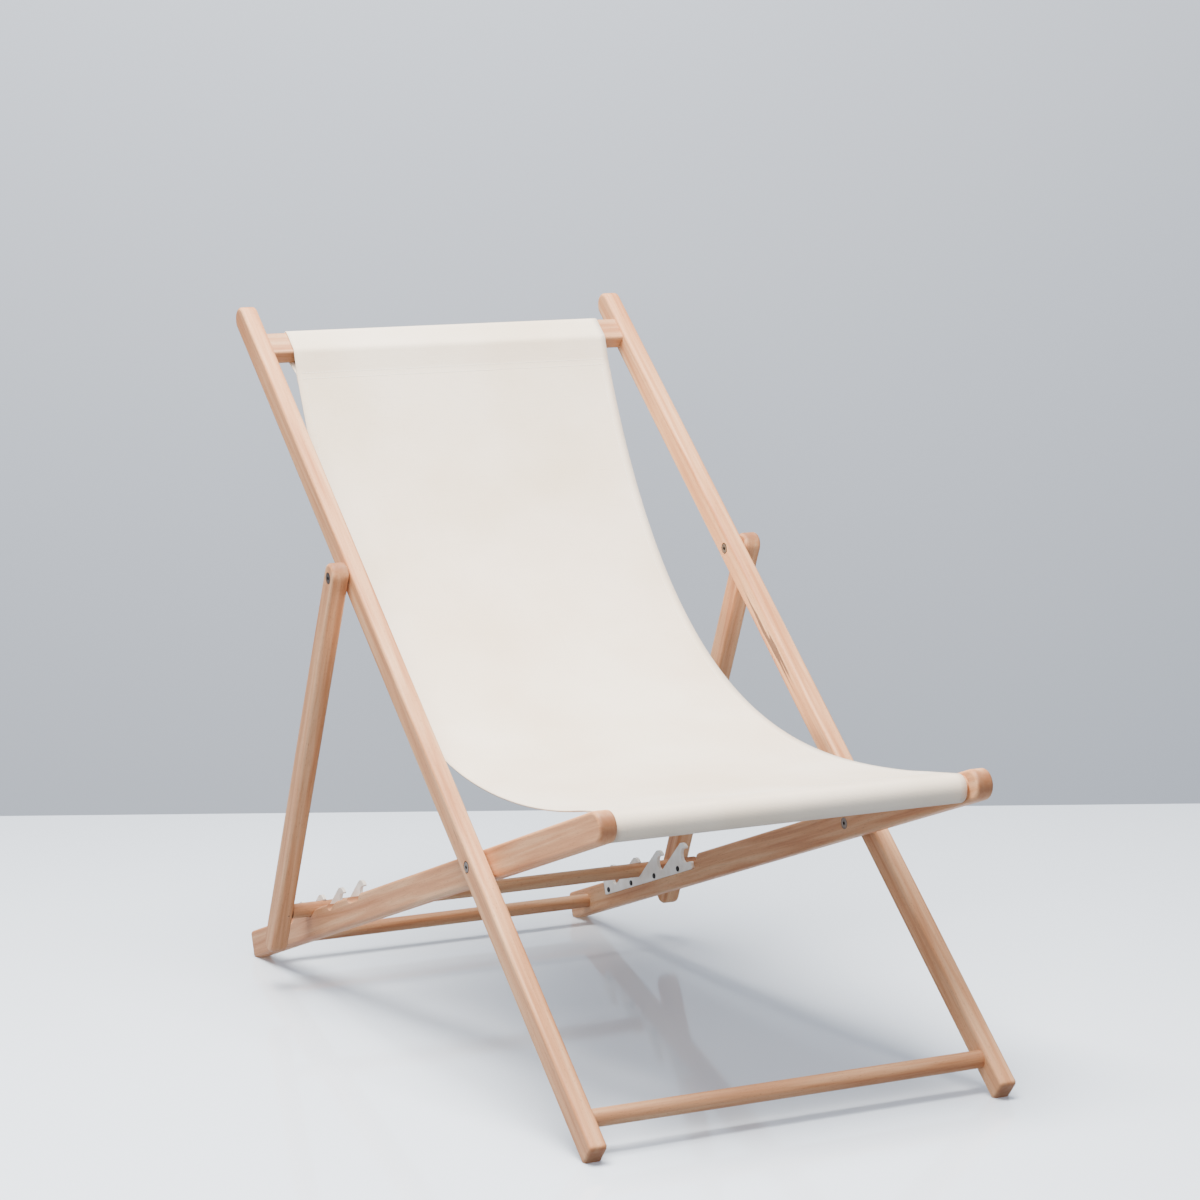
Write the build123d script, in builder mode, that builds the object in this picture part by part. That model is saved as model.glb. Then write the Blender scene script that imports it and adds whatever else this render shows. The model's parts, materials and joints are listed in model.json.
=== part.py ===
from build123d import *
from math import acos, atan2, cos, degrees, hypot, pi, sin, tan
import os

# Notched deck chair with a canvas sling, standing open in its second notch.
# Three wooden frames fold on two pairs of pivots: the seat frame, the back
# frame outside it and the prop frame outside both. Millimetres, +Z up, the
# sitter faces -Y, and the right side is +X as seen from in front.

os.makedirs("parts", exist_ok=True)

# overall sizes
overall_width = 566
rail_thickness = 21
layer_gap = 1.5
edge_round = 4
end_round = 5
foot_trim = 1.5

# back rails, measured along the rail from the foot
back_length = 1260
back_width = 30
back_foot_dowel = 46
back_main_pivot = 383
back_prop_pivot = 814
top_bar_from_top = 67.5

# seat rails, measured along the rail from the rear foot
seat_length = 1062
seat_width = 35
seat_rear_dowel = 55
seat_main_pivot = 763
front_bar_from_nose = 32

# prop legs, measured along the leg from the top
prop_length = 557
prop_width = 28
prop_pivot_from_top = 18
crossbar_from_pivot = 479
crossbar_offset = 5

# cross bars
front_bar_radius = 14
rear_dowel_radius = 9
foot_dowel_radius = 10
crossbar_radius = 9
top_bar_depth = 35
top_bar_thickness = 20
top_bar_round = 3
tenon_length = 12
tenon_radius = 7
crossbar_tenon_radius = 5.5
top_tenon_depth = 24
top_tenon_thickness = 11
tenon_clearance = 0.05
mortise_relief = 0.3
brad_radius = 0.9
brad_clearance = 0.02
brad_from_face = 6
brad_past_centre = 3

# ratchet plates, stations along the seat rail from its rear foot; each tooth
# hooks forward over the notch in front of it
plate_thickness = 4
plate_rebate = 3
first_notch = 141
tooth_pitch = 68.4
notch_count = 4
notch_height = 19
notch_in_use = 1
notch_clearance = 0.3
ramp_rise = 23.5
hook_inner = 60
hook_front = 15.4
hook_front_height = 28.6
hook_top = 9.4
tooth_height = 34.6
hook_start = 0.6
plate_rear = 115
plate_front = 370
plate_round = 2.5
wood_notch_clearance = 0.8
wood_recess_front = 382
wood_recess_rise = 10
rebate_margin = 3
rebate_front_margin = 8
rebate_corner = 6
plate_screw_station = 127
plate_screw_height = 5.3
plate_screw_radius = 1.5
plate_screw_head_radius = 3.5
plate_screw_head_height = 1.2
plate_screw_head_round = 0.7
plate_screw_length = 13

# pivots
barrel_radius = 4
running_clearance = 0.05
flange_radius = 6.5
flange_thickness = 2
screw_head_radius = 6
screw_radius = 2.5
flange_clearance = 0.5
recess_relief = 0.1
sleeve_relief = 1
sleeve_end_wall = 5
screw_tip_gap = 8
socket_radius = 2.3
socket_depth = 1.3
washer_radius = 9
washer_clearance = 0.3

# sling
sling_edge_gap = 4
sling_thickness = 2.4
sleeve_clearance = 0.4
sling_front_angle = 7.9
sling_front_reach = 297
sling_top_angle = 69
sling_top_reach = 540
sling_leaves_top_bar = 6.5

# faces of the three layers on the right side
half_width = overall_width / 2
prop_inner = half_width - rail_thickness
back_outer = prop_inner - layer_gap
back_inner = back_outer - rail_thickness
seat_outer = back_inner - layer_gap
seat_inner = seat_outer - rail_thickness
sling_half_width = seat_inner - sling_edge_gap

# fits round the pivots
recess_radius = flange_radius + flange_clearance
washer_hole = barrel_radius + washer_clearance

# each notch is round, and the crossbar sits at the centre of the one in use
notch_radius = crossbar_radius + notch_clearance
ramp_angle = ramp_rise * pi / 180
ramp_slope = tan(ramp_angle)
ramp_from = notch_radius * (1 + sin(ramp_angle))
ramp_from_height = notch_height - notch_radius * cos(ramp_angle)
bar_station = first_notch + notch_in_use * tooth_pitch + notch_radius
bar_height = notch_height

# opening angle from the triangle main pivot, prop pivot, crossbar
side_back = back_prop_pivot - back_main_pivot
side_prop = hypot(crossbar_from_pivot, crossbar_offset)
side_seat = hypot(seat_main_pivot - bar_station, bar_height)
corner_main = acos((side_back**2 + side_seat**2 - side_prop**2) / (2 * side_back * side_seat))
opening = corner_main + atan2(bar_height, seat_main_pivot - bar_station)

# slopes that put both pairs of feet on the floor
back_half = back_width / 2
seat_half = seat_width / 2
slope_top = (seat_main_pivot - end_round) * sin(opening)
slope_top += (seat_half - end_round) * cos(opening) - (back_half - end_round)
slope_bottom = back_main_pivot - end_round + (seat_main_pivot - end_round) * cos(opening)
slope_bottom -= (seat_half - end_round) * sin(opening)
back_angle = atan2(slope_top, slope_bottom)
seat_angle = opening - back_angle

# directions in the side view, as (y, z)
back_u = Vector(0, cos(back_angle), sin(back_angle))
back_n = Vector(0, -sin(back_angle), cos(back_angle))
seat_u = Vector(0, -cos(seat_angle), sin(seat_angle))
seat_n = Vector(0, sin(seat_angle), cos(seat_angle))

# the chair is centred on the ground between its front and rear extremes
foot_z = (back_half - end_round) * cos(back_angle) - end_round * sin(back_angle)
foot_z += end_round - foot_trim
back_foot = Vector(0, 0, foot_z)
main_pivot = back_foot + back_u * back_main_pivot
seat_foot = main_pivot - seat_u * seat_main_pivot
front_y = end_round * cos(back_angle) - (back_half - end_round) * sin(back_angle) - end_round
rear_y = seat_foot.Y - end_round * cos(seat_angle)
rear_y += (seat_half - end_round) * sin(seat_angle) + end_round
shift = Vector(0, -(front_y + rear_y) / 2, 0)
back_foot = back_foot + shift
main_pivot = main_pivot + shift
seat_foot = seat_foot + shift
prop_pivot = back_foot + back_u * back_prop_pivot
crossbar_at = seat_foot + seat_u * bar_station + seat_n * bar_height

# prop direction, from the pivot and the offset crossbar
to_crossbar = crossbar_at - prop_pivot
prop_angle = atan2(to_crossbar.Z, to_crossbar.Y) + atan2(crossbar_offset, crossbar_from_pivot)
prop_u = Vector(0, cos(prop_angle), sin(prop_angle))
prop_n = Vector(0, -sin(prop_angle), cos(prop_angle))
prop_top = prop_pivot - prop_u * prop_pivot_from_top

front_bar_at = seat_foot + seat_u * (seat_length - front_bar_from_nose)
rear_dowel_at = seat_foot + seat_u * seat_rear_dowel
foot_dowel_at = back_foot + back_u * back_foot_dowel
top_bar_at = back_foot + back_u * (back_length - top_bar_from_top)

right = Vector(1, 0, 0)
seat_plane = Plane(origin=seat_foot + right * seat_outer, x_dir=seat_u, z_dir=(-1, 0, 0))
back_plane = Plane(origin=back_foot + right * back_inner, x_dir=back_u, z_dir=(1, 0, 0))
prop_plane = Plane(origin=prop_top + right * prop_inner, x_dir=prop_u, z_dir=(1, 0, 0))
side_plane = Plane.YZ

# brads stand square to the rail, and start at its lower edge
seat_brad_x = seat_inner + brad_from_face
back_brad_x = back_inner + brad_from_face
prop_brad_x = prop_inner + brad_from_face
front_brad_plane = Plane(
    origin=front_bar_at - seat_n * seat_half + right * seat_brad_x,
    x_dir=(1, 0, 0), z_dir=seat_n)
rear_brad_plane = Plane(
    origin=rear_dowel_at - seat_n * seat_half + right * seat_brad_x,
    x_dir=(1, 0, 0), z_dir=seat_n)
top_brad_plane = Plane(
    origin=top_bar_at - back_n * back_half + right * back_brad_x,
    x_dir=(1, 0, 0), z_dir=back_n)
foot_brad_plane = Plane(
    origin=foot_dowel_at - back_n * back_half + right * back_brad_x,
    x_dir=(1, 0, 0), z_dir=back_n)
cross_brad_plane = Plane(
    origin=crossbar_at - prop_n * (prop_width / 2 - crossbar_offset) + right * prop_brad_x,
    x_dir=(1, 0, 0), z_dir=prop_n)
seat_brad_length = seat_half + brad_past_centre
back_brad_length = back_half + brad_past_centre
cross_brad_length = prop_width / 2 - crossbar_offset + brad_past_centre
brad_hole = brad_radius + brad_clearance

# seat rail: round nose, square rear foot, rebate and notches for the plate
with BuildPart() as seat_rail_right:
    with BuildSketch(seat_plane) as seat_profile:
        with BuildLine():
            Polyline(
                (seat_length - seat_half, -seat_half),
                (0, -seat_half),
                (0, seat_half),
                (seat_length - seat_half, seat_half))
            ThreePointArc(
                (seat_length - seat_half, seat_half),
                (seat_length, 0),
                (seat_length - seat_half, -seat_half))
        make_face()
        fillet(seat_profile.vertices().group_by(Axis.X)[0], radius=end_round)
    extrude(amount=rail_thickness)
    fillet(seat_rail_right.edges().group_by(Axis.X)[0], radius=edge_round)
    fillet(seat_rail_right.edges().group_by(Axis.X)[-1], radius=edge_round)
    # rebate for the plate, open at the top edge, in the inner face
    with BuildSketch(seat_plane.offset(rail_thickness - plate_rebate)) as rebate_profile:
        with Locations((plate_rear - rebate_margin, -0.2)):
            Rectangle(
                plate_front - plate_rear + rebate_margin + rebate_front_margin,
                seat_width, align=(Align.MIN, Align.MIN))
        fillet(rebate_profile.vertices().group_by(Axis.Y)[0], radius=rebate_corner)
    extrude(amount=plate_rebate + 1, mode=Mode.SUBTRACT)
    # notches in the wood, a little larger than those in the plate; the front
    # one runs on as a shallow recess that rises in a rounded corner
    with BuildSketch(seat_plane.offset(-1)) as wood_notches:
        wood_radius = notch_radius + wood_notch_clearance
        wood_floor = ramp_from_height - wood_notch_clearance
        above = seat_half + 6
        for notch in range(notch_count):
            station = first_notch + notch * tooth_pitch
            with Locations((station + notch_radius, notch_height)):
                Circle(wood_radius)
            if notch < notch_count - 1:
                with BuildLine():
                    Polyline(
                        (station + notch_radius, above),
                        (station + notch_radius, notch_height - wood_radius + 0.6),
                        (station + ramp_from, wood_floor),
                        (station + ramp_from + (above - wood_floor) / ramp_slope, above),
                        close=True)
                make_face()
        with BuildLine():
            Polyline(
                (station + notch_radius, above),
                (station + notch_radius, notch_height - wood_radius),
                (wood_recess_front, notch_height - wood_radius),
                (wood_recess_front + wood_recess_rise, above),
                close=True)
        make_face()
    extrude(amount=rail_thickness + 2, mode=Mode.SUBTRACT)
    # main pivot hole, with a recess for the sleeve flange in the inner face
    with BuildSketch(side_plane.offset(seat_inner - 1)):
        with Locations((main_pivot.Y, main_pivot.Z)):
            Circle(barrel_radius + running_clearance)
    extrude(amount=rail_thickness + 2, mode=Mode.SUBTRACT)
    with BuildSketch(side_plane.offset(seat_inner - 1)):
        with Locations((main_pivot.Y, main_pivot.Z)):
            Circle(recess_radius)
    extrude(amount=flange_thickness + 1, mode=Mode.SUBTRACT)
    # blind mortises for the front bar and the rear dowel
    with BuildSketch(side_plane.offset(seat_inner - 1)):
        with Locations((front_bar_at.Y, front_bar_at.Z), (rear_dowel_at.Y, rear_dowel_at.Z)):
            Circle(tenon_radius + tenon_clearance)
    extrude(amount=tenon_length + mortise_relief + 1, mode=Mode.SUBTRACT)
    # brad holes
    with BuildSketch(front_brad_plane.offset(-1), rear_brad_plane.offset(-1)):
        Circle(brad_hole)
    extrude(amount=seat_brad_length + 1, mode=Mode.SUBTRACT)
    # pilot holes for the plate screws
    with BuildSketch(seat_plane.offset(rail_thickness - plate_rebate + 1)):
        for notch in range(notch_count):
            with Locations((plate_screw_station + notch * tooth_pitch, plate_screw_height)):
                Circle(plate_screw_radius + brad_clearance)
    extrude(amount=-plate_screw_length - 1, mode=Mode.SUBTRACT)
    # level foot
    with BuildSketch(Plane.XY):
        Rectangle(4 * half_width, 4 * seat_length)
    extrude(amount=-60, mode=Mode.SUBTRACT)

with BuildPart() as seat_rail_left:
    mirror(seat_rail_right.part, about=Plane.YZ)

# back rail: round top, square foot
with BuildPart() as back_rail_right:
    with BuildSketch(back_plane) as back_profile:
        with BuildLine():
            Polyline(
                (back_length - back_half, -back_half),
                (0, -back_half),
                (0, back_half),
                (back_length - back_half, back_half))
            ThreePointArc(
                (back_length - back_half, back_half),
                (back_length, 0),
                (back_length - back_half, -back_half))
        make_face()
        fillet(back_profile.vertices().group_by(Axis.X)[0], radius=end_round)
    extrude(amount=rail_thickness)
    fillet(back_rail_right.edges().group_by(Axis.X)[0], radius=edge_round)
    fillet(back_rail_right.edges().group_by(Axis.X)[-1], radius=edge_round)
    # both pivot holes
    with BuildSketch(side_plane.offset(back_inner - 1)):
        with Locations((main_pivot.Y, main_pivot.Z), (prop_pivot.Y, prop_pivot.Z)):
            Circle(barrel_radius + running_clearance)
    extrude(amount=rail_thickness + 2, mode=Mode.SUBTRACT)
    # recess for the main screw head in the outer face
    with BuildSketch(side_plane.offset(back_outer + 1)):
        with Locations((main_pivot.Y, main_pivot.Z)):
            Circle(recess_radius)
    extrude(amount=-flange_thickness - recess_relief - 1, mode=Mode.SUBTRACT)
    # recess for the prop screw head in the inner face
    with BuildSketch(side_plane.offset(back_inner - 1)):
        with Locations((prop_pivot.Y, prop_pivot.Z)):
            Circle(recess_radius)
    extrude(amount=flange_thickness + recess_relief + 1, mode=Mode.SUBTRACT)
    # blind mortises for the foot dowel and the top bar
    with BuildSketch(side_plane.offset(back_inner - 1)):
        with Locations((foot_dowel_at.Y, foot_dowel_at.Z)):
            Circle(tenon_radius + tenon_clearance)
    extrude(amount=tenon_length + mortise_relief + 1, mode=Mode.SUBTRACT)
    with BuildSketch(back_plane.offset(-1)):
        with Locations((back_length - top_bar_from_top, 0)):
            Rectangle(
                top_tenon_depth + 2 * tenon_clearance,
                top_tenon_thickness + 2 * tenon_clearance)
    extrude(amount=tenon_length + mortise_relief + 1, mode=Mode.SUBTRACT)
    # brad holes
    with BuildSketch(foot_brad_plane.offset(-1), top_brad_plane.offset(-1)):
        Circle(brad_hole)
    extrude(amount=back_brad_length + 1, mode=Mode.SUBTRACT)
    # level foot
    with BuildSketch(Plane.XY):
        Rectangle(4 * half_width, 4 * back_length)
    extrude(amount=-60, mode=Mode.SUBTRACT)

with BuildPart() as back_rail_left:
    mirror(back_rail_right.part, about=Plane.YZ)

# prop leg: both ends round
with BuildPart() as prop_leg_right:
    with BuildSketch(prop_plane):
        with Locations((prop_length / 2, 0)):
            SlotOverall(prop_length, prop_width)
    extrude(amount=rail_thickness)
    fillet(prop_leg_right.edges().group_by(Axis.X)[0], radius=edge_round)
    fillet(prop_leg_right.edges().group_by(Axis.X)[-1], radius=edge_round)
    with BuildSketch(side_plane.offset(prop_inner - 1)):
        with Locations((prop_pivot.Y, prop_pivot.Z)):
            Circle(barrel_radius + running_clearance)
    extrude(amount=rail_thickness + 2, mode=Mode.SUBTRACT)
    with BuildSketch(side_plane.offset(half_width + 1)):
        with Locations((prop_pivot.Y, prop_pivot.Z)):
            Circle(recess_radius)
    extrude(amount=-flange_thickness - 1, mode=Mode.SUBTRACT)
    with BuildSketch(side_plane.offset(prop_inner - 1)):
        with Locations((crossbar_at.Y, crossbar_at.Z)):
            Circle(crossbar_tenon_radius + tenon_clearance)
    extrude(amount=tenon_length + mortise_relief + 1, mode=Mode.SUBTRACT)
    with BuildSketch(cross_brad_plane.offset(-1)):
        Circle(brad_hole)
    extrude(amount=cross_brad_length + 1, mode=Mode.SUBTRACT)

with BuildPart() as prop_leg_left:
    mirror(prop_leg_right.part, about=Plane.YZ)

# round bars, each with a tenon at both ends and a hole for each brad
with BuildPart() as front_bar:
    with BuildSketch(side_plane.offset(-seat_inner)):
        with Locations((front_bar_at.Y, front_bar_at.Z)):
            Circle(front_bar_radius)
    extrude(amount=2 * seat_inner)
    with BuildSketch(side_plane.offset(-seat_inner - tenon_length)):
        with Locations((front_bar_at.Y, front_bar_at.Z)):
            Circle(tenon_radius)
    extrude(amount=2 * (seat_inner + tenon_length))
    with BuildSketch(front_brad_plane):
        with Locations((0, 0), (-2 * seat_brad_x, 0)):
            Circle(brad_hole)
    extrude(amount=seat_brad_length, mode=Mode.SUBTRACT)

with BuildPart() as rear_dowel:
    with BuildSketch(side_plane.offset(-seat_inner)):
        with Locations((rear_dowel_at.Y, rear_dowel_at.Z)):
            Circle(rear_dowel_radius)
    extrude(amount=2 * seat_inner)
    with BuildSketch(side_plane.offset(-seat_inner - tenon_length)):
        with Locations((rear_dowel_at.Y, rear_dowel_at.Z)):
            Circle(tenon_radius)
    extrude(amount=2 * (seat_inner + tenon_length))
    with BuildSketch(rear_brad_plane):
        with Locations((0, 0), (-2 * seat_brad_x, 0)):
            Circle(brad_hole)
    extrude(amount=seat_brad_length, mode=Mode.SUBTRACT)

with BuildPart() as foot_dowel:
    with BuildSketch(side_plane.offset(-back_inner)):
        with Locations((foot_dowel_at.Y, foot_dowel_at.Z)):
            Circle(foot_dowel_radius)
    extrude(amount=2 * back_inner)
    with BuildSketch(side_plane.offset(-back_inner - tenon_length)):
        with Locations((foot_dowel_at.Y, foot_dowel_at.Z)):
            Circle(tenon_radius)
    extrude(amount=2 * (back_inner + tenon_length))
    with BuildSketch(foot_brad_plane):
        with Locations((0, 0), (-2 * back_brad_x, 0)):
            Circle(brad_hole)
    extrude(amount=back_brad_length, mode=Mode.SUBTRACT)

with BuildPart() as prop_crossbar:
    with BuildSketch(side_plane.offset(-prop_inner)):
        with Locations((crossbar_at.Y, crossbar_at.Z)):
            Circle(crossbar_radius)
    extrude(amount=2 * prop_inner)
    with BuildSketch(side_plane.offset(-prop_inner - tenon_length)):
        with Locations((crossbar_at.Y, crossbar_at.Z)):
            Circle(crossbar_tenon_radius)
    extrude(amount=2 * (prop_inner + tenon_length))
    with BuildSketch(cross_brad_plane):
        with Locations((0, 0), (-2 * prop_brad_x, 0)):
            Circle(brad_hole)
    extrude(amount=cross_brad_length, mode=Mode.SUBTRACT)

# top bar: flat board with rounded long edges and square tenons
with BuildPart() as top_bar:
    with BuildSketch(back_plane):
        with Locations((back_length - top_bar_from_top, 0)):
            RectangleRounded(top_bar_depth, top_bar_thickness, top_bar_round)
    extrude(amount=-2 * back_inner)
    with BuildSketch(back_plane.offset(tenon_length)):
        with Locations((back_length - top_bar_from_top, 0)):
            Rectangle(top_tenon_depth, top_tenon_thickness)
    extrude(amount=-2 * (back_inner + tenon_length))
    with BuildSketch(top_brad_plane):
        with Locations((0, 0), (-2 * back_brad_x, 0)):
            Circle(brad_hole)
    extrude(amount=back_brad_length, mode=Mode.SUBTRACT)

# brads, flush with the rail edge, one on each side
with BuildPart() as front_bar_brads:
    with BuildSketch(front_brad_plane):
        with Locations((0, 0), (-2 * seat_brad_x, 0)):
            Circle(brad_radius)
    extrude(amount=seat_brad_length)

with BuildPart() as rear_dowel_brads:
    with BuildSketch(rear_brad_plane):
        with Locations((0, 0), (-2 * seat_brad_x, 0)):
            Circle(brad_radius)
    extrude(amount=seat_brad_length)

with BuildPart() as foot_dowel_brads:
    with BuildSketch(foot_brad_plane):
        with Locations((0, 0), (-2 * back_brad_x, 0)):
            Circle(brad_radius)
    extrude(amount=back_brad_length)

with BuildPart() as top_bar_brads:
    with BuildSketch(top_brad_plane):
        with Locations((0, 0), (-2 * back_brad_x, 0)):
            Circle(brad_radius)
    extrude(amount=back_brad_length)

with BuildPart() as crossbar_brads:
    with BuildSketch(cross_brad_plane):
        with Locations((0, 0), (-2 * prop_brad_x, 0)):
            Circle(brad_radius)
    extrude(amount=cross_brad_length)

# ratchet plate: a row of teeth hooked forward over round notches, let into
# the inner face of the rail
with BuildPart() as ratchet_plate_right:
    with BuildSketch(seat_plane.offset(rail_thickness - plate_rebate)) as plate_profile:
        rear_top = ramp_from_height
        rear_top += (plate_rear - first_notch + tooth_pitch - ramp_from) * ramp_slope
        inner = hook_inner * pi / 180
        with BuildLine():
            ramp_end = (plate_rear, rear_top)
            Line((plate_rear, 0), ramp_end)
            for notch in range(notch_count):
                station = first_notch + notch * tooth_pitch
                middle = station + notch_radius
                hook_start_height = ramp_from_height
                hook_start_height += (hook_start + tooth_pitch - ramp_from) * ramp_slope
                lip = (middle + notch_radius * cos(inner), notch_height + notch_radius * sin(inner))
                Line(ramp_end, (station + hook_start, hook_start_height))
                ThreePointArc(
                    (station + hook_start, hook_start_height),
                    (station + hook_top, tooth_height),
                    (station + hook_front, hook_front_height))
                Line((station + hook_front, hook_front_height), lip)
                if notch < notch_count - 1:
                    ramp_end = (station + ramp_from, ramp_from_height)
                else:
                    ramp_end = (middle, notch_height - notch_radius)
                ThreePointArc(lip, (station, notch_height), ramp_end)
            Polyline(
                ramp_end,
                (plate_front, notch_height - notch_radius),
                (plate_front, 0),
                (plate_rear, 0))
        make_face()
        fillet(plate_profile.vertices().group_by(Axis.Y)[0], radius=plate_round)
        fillet(plate_profile.vertices().group_by(Axis.X)[-1].sort_by(Axis.Y)[-1], radius=plate_round)
        fillet(plate_profile.vertices().group_by(Axis.X)[0].sort_by(Axis.Y)[-1], radius=plate_round)
    extrude(amount=plate_thickness)
    with BuildSketch(seat_plane.offset(rail_thickness + plate_thickness)):
        for notch in range(notch_count):
            with Locations((plate_screw_station + notch * tooth_pitch, plate_screw_height)):
                Circle(plate_screw_radius + brad_clearance)
    extrude(amount=-2 * plate_thickness - 4, mode=Mode.SUBTRACT)

with BuildPart() as ratchet_plate_left:
    mirror(ratchet_plate_right.part, about=Plane.YZ)

plate_face = rail_thickness - plate_rebate + plate_thickness
with BuildPart() as ratchet_screws_right:
    with BuildSketch(seat_plane.offset(plate_face)):
        for notch in range(notch_count):
            with Locations((plate_screw_station + notch * tooth_pitch, plate_screw_height)):
                Circle(plate_screw_head_radius)
    extrude(amount=plate_screw_head_height)
    fillet(ratchet_screws_right.edges().group_by(Axis.X)[0], radius=plate_screw_head_round)
    with BuildSketch(seat_plane.offset(plate_face)):
        for notch in range(notch_count):
            with Locations((plate_screw_station + notch * tooth_pitch, plate_screw_height)):
                Circle(plate_screw_radius)
    extrude(amount=-plate_screw_length)

with BuildPart() as ratchet_screws_left:
    mirror(ratchet_screws_right.part, about=Plane.YZ)

# main pivot: the sleeve's flange sits in the seat rail, its barrel turns in
# the back rail, and the screw closes it from outside
with BuildPart() as main_pivot_sleeve_right:
    with BuildSketch(side_plane.offset(seat_inner)):
        with Locations((main_pivot.Y, main_pivot.Z)):
            Circle(flange_radius)
    extrude(amount=flange_thickness)
    with BuildSketch(side_plane.offset(seat_inner)):
        with Locations((main_pivot.Y, main_pivot.Z)):
            Circle(barrel_radius)
    extrude(amount=back_outer - flange_thickness - sleeve_relief - seat_inner)
    with BuildSketch(side_plane.offset(seat_inner + sleeve_end_wall)):
        with Locations((main_pivot.Y, main_pivot.Z)):
            Circle(screw_radius + running_clearance)
    extrude(amount=back_outer - seat_inner, mode=Mode.SUBTRACT)
    with BuildSketch(side_plane.offset(seat_inner)):
        with Locations((main_pivot.Y, main_pivot.Z)):
            RegularPolygon(socket_radius, 6)
    extrude(amount=socket_depth, mode=Mode.SUBTRACT)

with BuildPart() as main_pivot_screw_right:
    with BuildSketch(side_plane.offset(back_outer)):
        with Locations((main_pivot.Y, main_pivot.Z)):
            Circle(screw_head_radius)
    extrude(amount=-flange_thickness)
    with BuildSketch(side_plane.offset(back_outer)):
        with Locations((main_pivot.Y, main_pivot.Z)):
            Circle(screw_radius)
    extrude(amount=-(back_outer - seat_inner - screw_tip_gap))
    with BuildSketch(side_plane.offset(back_outer)):
        with Locations((main_pivot.Y, main_pivot.Z)):
            RegularPolygon(socket_radius, 6)
    extrude(amount=-socket_depth, mode=Mode.SUBTRACT)

with BuildPart() as main_pivot_washer_right:
    with BuildSketch(side_plane.offset(seat_outer)):
        with Locations((main_pivot.Y, main_pivot.Z)):
            Circle(washer_radius)
            Circle(washer_hole, mode=Mode.SUBTRACT)
    extrude(amount=layer_gap - recess_relief)

# prop pivot: the flange sits in the prop leg, the barrel turns in the back
# rail, and the screw closes it from inside
with BuildPart() as prop_pivot_sleeve_right:
    with BuildSketch(side_plane.offset(half_width)):
        with Locations((prop_pivot.Y, prop_pivot.Z)):
            Circle(flange_radius)
    extrude(amount=-flange_thickness)
    with BuildSketch(side_plane.offset(half_width)):
        with Locations((prop_pivot.Y, prop_pivot.Z)):
            Circle(barrel_radius)
    extrude(amount=-(half_width - back_inner - flange_thickness - sleeve_relief))
    with BuildSketch(side_plane.offset(half_width - sleeve_end_wall)):
        with Locations((prop_pivot.Y, prop_pivot.Z)):
            Circle(screw_radius + running_clearance)
    extrude(amount=-(half_width - back_inner), mode=Mode.SUBTRACT)
    with BuildSketch(side_plane.offset(half_width)):
        with Locations((prop_pivot.Y, prop_pivot.Z)):
            RegularPolygon(socket_radius, 6)
    extrude(amount=-socket_depth, mode=Mode.SUBTRACT)

with BuildPart() as prop_pivot_screw_right:
    with BuildSketch(side_plane.offset(back_inner)):
        with Locations((prop_pivot.Y, prop_pivot.Z)):
            Circle(screw_head_radius)
    extrude(amount=flange_thickness)
    with BuildSketch(side_plane.offset(back_inner)):
        with Locations((prop_pivot.Y, prop_pivot.Z)):
            Circle(screw_radius)
    extrude(amount=half_width - back_inner - screw_tip_gap)
    with BuildSketch(side_plane.offset(back_inner)):
        with Locations((prop_pivot.Y, prop_pivot.Z)):
            RegularPolygon(socket_radius, 6)
    extrude(amount=socket_depth, mode=Mode.SUBTRACT)

with BuildPart() as prop_pivot_washer_right:
    with BuildSketch(side_plane.offset(prop_inner)):
        with Locations((prop_pivot.Y, prop_pivot.Z)):
            Circle(washer_radius)
            Circle(washer_hole, mode=Mode.SUBTRACT)
    extrude(amount=-(layer_gap - recess_relief))

with BuildPart() as main_pivot_sleeve_left:
    mirror(main_pivot_sleeve_right.part, about=Plane.YZ)

with BuildPart() as main_pivot_screw_left:
    mirror(main_pivot_screw_right.part, about=Plane.YZ)

with BuildPart() as main_pivot_washer_left:
    mirror(main_pivot_washer_right.part, about=Plane.YZ)

with BuildPart() as prop_pivot_sleeve_left:
    mirror(prop_pivot_sleeve_right.part, about=Plane.YZ)

with BuildPart() as prop_pivot_screw_left:
    mirror(prop_pivot_screw_right.part, about=Plane.YZ)

with BuildPart() as prop_pivot_washer_left:
    mirror(prop_pivot_washer_right.part, about=Plane.YZ)

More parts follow.
